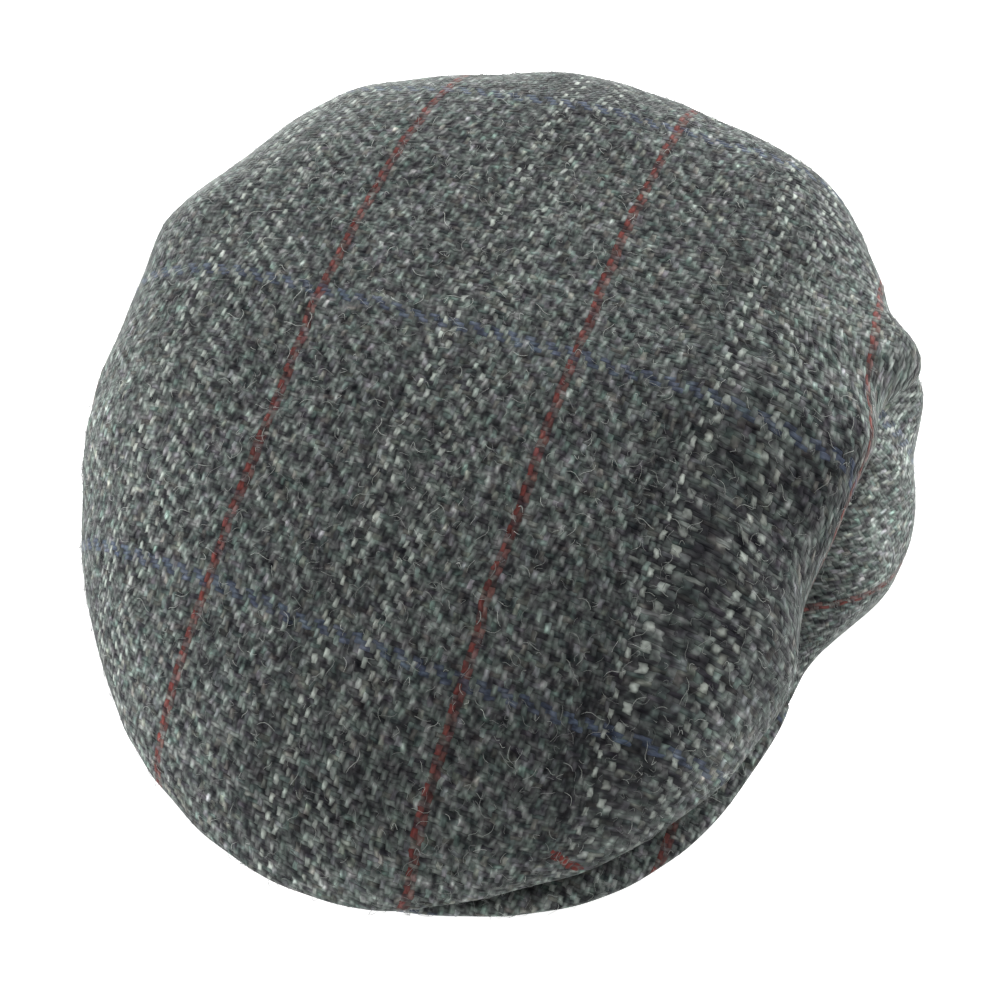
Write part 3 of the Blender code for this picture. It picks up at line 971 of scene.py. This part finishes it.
faces = []
for i in range(TOP_STATIONS):
    after = (i + 1) % TOP_STATIONS
    faces.append((0, 1 + i, 1 + after))
    for row in range(outer_rows + inner_rows - 1):
        low, high = 1 + row * TOP_STATIONS, 1 + (row + 1) * TOP_STATIONS
        faces.append((low + i, high + i, high + after, low + after))
    last = 1 + (outer_rows + inner_rows - 1) * TOP_STATIONS
    faces.append((last + i, len(verts) - 1, last + after))

walked_at, angle_at = np.array(walked_at) * 1000, np.array(angle_at)
across, backwards = walked_at * np.sin(angle_at), -walked_at * np.cos(angle_at)
corners = [corner for face in faces for corner in face]
places = columns(*top_cloth(across, backwards))[corners]
one_station = [True] + [row < outer_rows for row in range(outer_rows + inner_rows - 1)] + [False]
top = cloth_object("top_cloth", verts, faces, places, one_station * TOP_STATIONS, cap_tweed)
outline_ring = slice(1 + (outer_rows - 1) * TOP_STATIONS, 1 + outer_rows * TOP_STATIONS)
x, y = across[outline_ring] / 1000, backwards[outline_ring] / 1000
print("top volume: %.1f cm3" % (outward_volume(top) * 1e6))

# %% [markdown]
# Side panels
#
# Each side panel is a band that runs from the corner of the peak to the back seam, with its
# lower edge turned up inside as a hem. A strip could be extruded and bent, but lofting closed
# sections gives the outer face, the rounded hem and the inner face in one go, with a real
# thickness. The upper edge is tucked in behind the top's wall, as a seam allowance is, so no
# light shows through the seam.

# %% Loft closed sections, with a cap on each end


def loft(name, loops, places, outside, material):
    """A closed body through closed sections, each with a place on the cloth at every point.

    The first points of each section, as many as outside says, are on the outer face.
    """
    count = len(loops[0])
    verts = [point for loop in loops for point in loop]
    faces, corners = [], []
    for i in range(len(loops) - 1):
        for k in range(count):
            after, low, high = (k + 1) % count, i * count, (i + 1) * count
            faces.append((low + k, low + after, high + after, high + k))
            corners += [places[i][k], places[i][k + 1], places[i + 1][k + 1], places[i + 1][k]]
    for i, flip in ((0, True), (len(loops) - 1, False)):
        middle = len(verts)
        verts.append(np.mean(loops[i], axis=0))
        for k in range(count):
            after = (k + 1) % count
            ring = [i * count + k, i * count + after, middle]
            spot = [places[i][k], places[i][k + 1], np.mean(places[i], axis=0)]
            faces.append(tuple(ring[::-1] if flip else ring))
            corners += spot[::-1] if flip else spot
    one_ring, both_ends = [k < outside for k in range(count)], [False] * 2 * count
    flags = one_ring * (len(loops) - 1) + both_ends
    return cloth_object(name, verts, faces, corners, flags, material)


# %% Side panels
PANEL_STATIONS = 150
PANEL_VISUAL_ROWS = 40
OUTER_POINTS, HEM_POINTS, INNER_POINTS = 34, 5, 30
HEM_ARC = np.radians((18, 54, 90, 126, 162))
MIDDLE_POINT = OUTER_POINTS // 2
SEAM_ALLOWANCE, TUCK_STEPS = 0.003, 4
PEAK_OVERLAP, BACK_SEAM_GAP = 0.07, 0.0012
FOLD_EDGE_SHARE = 0.08


def panel_loop(angle):
    """Closed section of a side panel: down the outer face, round the hem, up the inner face."""
    whole = panel_section(angle, PANEL_VISUAL_ROWS)
    up = (whole[0] - whole[1]) / np.linalg.norm(whole[0] - whole[1])
    tucked_in = whole[0] + up * np.linspace(SEAM_ALLOWANCE, 0, TUCK_STEPS + 1)[:-1, None]
    whole = np.concatenate([tucked_in, whole])
    height = whole[:, 1]
    folded = np.clip((HEM_FOLD_WIDTH - height) / (FOLD_EDGE_SHARE * HEM_FOLD_WIDTH) + 0.5, 0, 1)
    wall = CLOTH + (HEM_FOLD - CLOTH) * folded
    inner = whole + inwards(whole) * wall[:, None]
    radius = HEM_FOLD / 2
    keep = height > radius
    outer, inner = whole[keep], inner[keep]
    inner[:, 1] = np.maximum(inner[:, 1], radius)
    centre = np.array((whole[-1, 0] - radius, radius))
    hem = np.array([centre + radius * np.array((math.cos(a), -math.sin(a))) for a in HEM_ARC])
    start = rounded_end(outer[::-1], inner[::-1], SEAM_RADIUS)[::-1]
    return start, hem, inner[::-1]


def even_loop(parts, counts):
    """The loop with a fixed number of points in each part, so all loops match."""
    rows = []
    for points, count in zip(parts, counts):
        walked = section_length(points)
        rows.append(cut_at(points, walked, np.linspace(0, walked[-1], count)))
    return np.concatenate(rows)


# The red line stands this high over the hem, this far along, and climbs by this share
PANEL_RED_HEIGHT, PANEL_RED_ALONG, PANEL_RED_CLIMB = 29.5, 22.0, 0.37
PANEL_WEFT_START = 7.0


def side_panel(name, side):
    first_angle, last_angle = PEAK_TIP_ANGLE - PEAK_OVERLAP, math.pi - BACK_SEAM_GAP
    angles = side * np.linspace(first_angle, last_angle, PANEL_STATIONS + 1)
    loops, places, along, cut_width, cut_area = [], [], 0.0, 0.0, 0.0
    last = None
    for angle in angles:
        loop = even_loop(panel_loop(angle), (OUTER_POINTS, HEM_POINTS, INNER_POINTS))
        points = place(angle, loop)
        step = 0.0 if last is None else float(np.linalg.norm(points[MIDDLE_POINT] - last))
        along += step
        last = points[MIDDLE_POINT]
        walked = section_length(np.concatenate([loop, loop[:1]])) * 1000
        hem_at = walked[OUTER_POINTS + HEM_POINTS // 2]
        over_hem = hem_at - walked
        cut_height = hem_at / 1000 + HEM_FOLD_WIDTH
        cut_width, cut_area = max(cut_width, cut_height), cut_area + cut_height * step
        climb = PANEL_RED_CLIMB * (along * 1000 - PANEL_RED_ALONG)
        loops.append(points)
        places.append(columns(
            FIRST_RED + over_hem - PANEL_RED_HEIGHT + climb,
            np.full(len(walked), PANEL_WEFT_START + along * 1000),
        ))
    obj = loft(name, loops, places, OUTER_POINTS + HEM_POINTS, cap_tweed)
    print("%s: cut %.3f x %.3f m, %.4f m2" % (name, cut_width, along, cut_area))
    return obj, (cut_width, along), cut_area


left, left_cut, left_area = side_panel("side_cloth_left", 1)
right, right_cut, right_area = side_panel("side_cloth_right", -1)

# %% [markdown]
# Peak
#
# The peak is a stiff crescent of board with cloth drawn over both faces. Only a strip of it
# shows below the top's roll. It is lofted from closed sections too: upper face, rounded front
# edge, lower face, rounded root.

# %% Peak
PEAK_SECTIONS, PEAK_ROWS, PEAK_ARC_POINTS = 160, 24, 7
PEAK_END_GAP = 0.002
PEAK_CLOTH_TURN = math.radians(4.3)
PEAK_RED_START, PEAK_WEFT_START = 79.2, 37.0


def peak_loop(angle):
    root, edge = float(peak_root_reach(angle)), float(reach("peak", angle))
    radius = min(PEAK_THICKNESS, edge - root) / 2
    along = np.linspace(root + radius, edge - radius, PEAK_ROWS)
    lower = peak_underside(angle, along)
    half = PEAK_THICKNESS / 2
    arc = np.linspace(math.pi / 2, -math.pi / 2, PEAK_ARC_POINTS + 2)[1:-1]
    bulge, lift = radius * np.cos(arc), half * np.sin(arc)
    upper_face = columns(along, lower + PEAK_THICKNESS)
    front_edge = columns(along[-1] + bulge, lower[-1] + half + lift)
    lower_face = columns(along, lower)[::-1]
    root_edge = columns(along[0] - bulge, lower[0] + half + lift)[::-1]
    return np.concatenate([upper_face, front_edge, lower_face, root_edge])


loops, places = [], []
last_angle = PEAK_TIP_ANGLE - PEAK_END_GAP
for angle in np.linspace(-last_angle, last_angle, PEAK_SECTIONS + 1):
    loop = peak_loop(angle)
    points = place(angle, loop)
    loops.append(points)
    walked = section_length(np.concatenate([loop, loop[:1]]))
    spread = place(angle, columns(loop[0, 0] + walked, 0 * walked))
    x, y = spread[:, :2].T * 1000
    places.append(columns(
        FIRST_RED - PEAK_RED_START + x * math.cos(PEAK_CLOTH_TURN) + y * math.sin(PEAK_CLOTH_TURN),
        PEAK_WEFT_START + y * math.cos(PEAK_CLOTH_TURN) - x * math.sin(PEAK_CLOTH_TURN),
    ))
peak = loft("peak_cloth", loops, places, len(loops[0]), peak_tweed)
print("peak volume: %.1f cm3" % (outward_volume(peak) * 1e6))

# %% [markdown]
# Loose wool
#
# Wool is never quite smooth: fibres work out of the yarns, lie over the weave and stand off
# the rim, where they catch the light. Hair would not export, and a hair drawn in the colour
# has no height. So a few curled fibres are made as thin closed tubes, and Geometry Nodes
# strews thousands of them over each cloth, each turned and scaled at random.

# %% Fibres to strew
FIBRE_STEPS = 5
FIBRE_RADIUS, FIBRE_END_SHARE = 0.00006, 0.55
FIBRE_SINKS = 0.08
# In millimetres: length of the chord, sideways bow, second bow the other way, height
FIBRES = (
    (3.2, 0.6, 0.0, 0.30), (4.4, 1.1, 0.1, 0.35), (2.8, 0.2, 0.2, 0.45), (5.6, 0.7, 0.4, 0.40),
    (2.0, 1.3, 0.0, 0.55), (1.4, 1.7, 0.2, 0.70), (3.6, 0.3, 0.1, 0.90), (1.6, 0.4, 0.1, 1.20),
)


def fibre(name, chord, bow, second_bow, height):
    """A curved three-sided tube that lies on the cloth, with both ends in it."""
    t = np.linspace(0, 1, FIBRE_STEPS + 1)
    path = columns(
        chord * (t - 0.5),
        bow * np.sin(math.pi * t) + second_bow * np.sin(math.tau * t),
        height * np.sin(math.pi * t) - FIBRE_SINKS,
    ) / 1000
    way = np.gradient(path, axis=0)
    way /= np.linalg.norm(way, axis=1)[:, None]
    side = np.cross(way, (0.0, 0.0, 1.0))
    side /= np.linalg.norm(side, axis=1)[:, None]
    up = np.cross(side, way)
    verts, faces = [], [(0, 1, 2)]
    for i in range(FIBRE_STEPS + 1):
        radius = FIBRE_RADIUS * (FIBRE_END_SHARE if i in (0, FIBRE_STEPS) else 1.0)
        for a in (0.0, math.tau / 3, math.tau * 2 / 3):
            verts.append(path[i] + radius * (math.cos(a) * side[i] + math.sin(a) * up[i]))
    for i in range(FIBRE_STEPS):
        for k in range(3):
            a, b = 3 * i + k, 3 * i + (k + 1) % 3
            faces.append((a, a + 3, b + 3, b))
    end = 3 * FIBRE_STEPS
    faces.append((end + 2, end + 1, end))
    made = mesh_object(name, verts, faces)
    if outward_volume(made) < 0:
        made.data.flip_normals()
    made.data.shade_smooth()
    return made


fibres = bpy.data.collections.new("fibres")
for number_of, sizes in enumerate(FIBRES):
    made = fibre("fibre_%d" % number_of, *sizes)
    scene.collection.objects.unlink(made)
    fibres.objects.link(made)

# %% Fibre material
LOOSE_FINISH = {"Roughness": 0.9, "Specular IOR Level": 0.1, "Sheen Weight": 0.3}
# Features for each metre, and how much paler and darker a fibre gets along its length
GROWN_SCALE, GROWN_CONTRAST = 900.0, (0.8, 0.6)
loose_wool, tree, shader = new_material("loose_wool", LOOSE_FINISH)
shades = colour_ramp(add_node(tree, "ShaderNodeAttribute", attribute_name="shade")["Fac"], (
    (0.00, (0.030, 0.030, 0.033)), (0.60, (0.120, 0.128, 0.120)), (1.00, (0.280, 0.300, 0.278))))
place_on_cap = add_node(tree, "ShaderNodeTexCoord")["Object"]
grown = noise_at(place_on_cap, GROWN_SCALE, 1.0)["Fac"]
brightness = calc("MULTIPLY_ADD", grown, *GROWN_CONTRAST)
give(vector_calc("SCALE", shades, Scale=brightness), shader.inputs["Base Color"])

# %% Tree that strews the fibres
strew, asked, result = new_group("strewn_fibres", (
    ("Geometry", "NodeSocketGeometry"), ("Fibres", "NodeSocketCollection"),
    ("Per Square Metre", FLOAT), ("Lowest Place", FLOAT), ("Smallest", FLOAT), ("Largest", FLOAT),
    ("Seed", "NodeSocketInt"), ("Finish", "NodeSocketMaterial"),
), [("Geometry", "NodeSocketGeometry")], "GeometryNodeTree")
outside = add_node(
    strew, "GeometryNodeInputNamedAttribute", {"Name": "outside"}, data_type="BOOLEAN")
position = add_node(strew, "GeometryNodeInputPosition")[0]
height = add_beside("ShaderNodeSeparateXYZ", {"Vector": position})["Z"]
high_enough = calc("GREATER_THAN", height, asked["Lowest Place"])
chosen = calc("MULTIPLY", outside["Attribute"], high_enough)
points = add_beside("GeometryNodeDistributePointsOnFaces", {
    "Mesh": asked["Geometry"], "Selection": chosen,
    "Density": asked["Per Square Metre"], "Seed": asked["Seed"]})
kinds = add_beside("GeometryNodeCollectionInfo", {
    "Collection": asked["Fibres"], "Separate Children": True, "Reset Children": True})


def random_between(low, high, seed_step):
    """A random number for each fibre."""
    return add_beside("FunctionNodeRandomValue", {
        2: low, 3: high, "Seed": calc("ADD", asked["Seed"], float(seed_step))})[1]


about_z = add_beside("ShaderNodeCombineXYZ", {"Z": random_between(0.0, math.tau, 1)})[0]
spin = add_beside("FunctionNodeEulerToRotation", {"Euler": about_z})
turned = add_beside("FunctionNodeRotateRotation", {
    "Rotation": points["Rotation"], "Rotate By": spin[0]}, rotation_space="LOCAL")
strewn = add_beside("GeometryNodeInstanceOnPoints", {
    "Points": points["Points"], "Instance": kinds[0], "Pick Instance": True,
    "Rotation": turned[0], "Scale": random_between(asked["Smallest"], asked["Largest"], 2)})
shaded = add_beside("GeometryNodeStoreNamedAttribute", {
    "Geometry": strewn[0], "Name": "shade", "Value": random_between(0.0, 1.0, 3),
}, domain="INSTANCE")
made_real = add_beside("GeometryNodeRealizeInstances", {"Geometry": shaded[0]})[0]
finished = add_beside("GeometryNodeSetMaterial", {
    "Geometry": made_real, "Material": asked["Finish"]})
give(finished[0], result["Geometry"])

# %% Strew them
STREWING = {
    "Fibres": fibres, "Finish": loose_wool, "Per Square Metre": 56000.0,
    "Lowest Place": 0.006, "Smallest": 0.65, "Largest": 1.35,
}


def strew_fibres(name, cloth, seed):
    """A plain mesh of the fibres on one cloth."""
    modifier = cloth.modifiers.new("strewn", "NODES")
    modifier.node_group = strew
    wanted = {**STREWING, "Seed": seed}
    for item in strew.interface.items_tree:
        if item.in_out == "INPUT" and item.name in wanted:
            modifier[item.identifier] = wanted[item.name]
    graph = bpy.context.evaluated_depsgraph_get()
    mesh = bpy.data.meshes.new_from_object(cloth.evaluated_get(graph), depsgraph=graph)
    cloth.modifiers.remove(modifier)
    mesh.name = name
    print("%s: %d fibres, %d triangles" % (
        name, len(mesh.vertices) // (3 * (FIBRE_STEPS + 1)),
        sum(len(polygon.vertices) - 2 for polygon in mesh.polygons)))
    return add_object(name, mesh)


top_wool = strew_fibres("top_loose_wool", top, 3)
left_wool = strew_fibres("side_loose_wool_left", left, 11)
right_wool = strew_fibres("side_loose_wool_right", right, 19)
peak_wool = strew_fibres("peak_loose_wool", peak, 27)
for made in list(fibres.objects):
    bpy.data.objects.remove(made)
bpy.data.collections.remove(fibres)

# %% [markdown]
# Hand over to the frame
#
# Every piece rides on the one body that a cap has and stands for its imported solid, which is
# hidden.

# %% Ride and replace
for piece, node, slot in (
    (top, "top_panel", "tweed"),
    (left, "side_panel_left", "tweed"),
    (right, "side_panel_right", "tweed"),
    (peak, "peak", "peak_tweed"),
):
    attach(piece, "root")
    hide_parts(node)
for piece, slot in (
    (top_wool, "tweed"), (left_wool, "tweed"), (right_wool, "tweed"), (peak_wool, "peak_tweed"),
):
    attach(piece, "root")
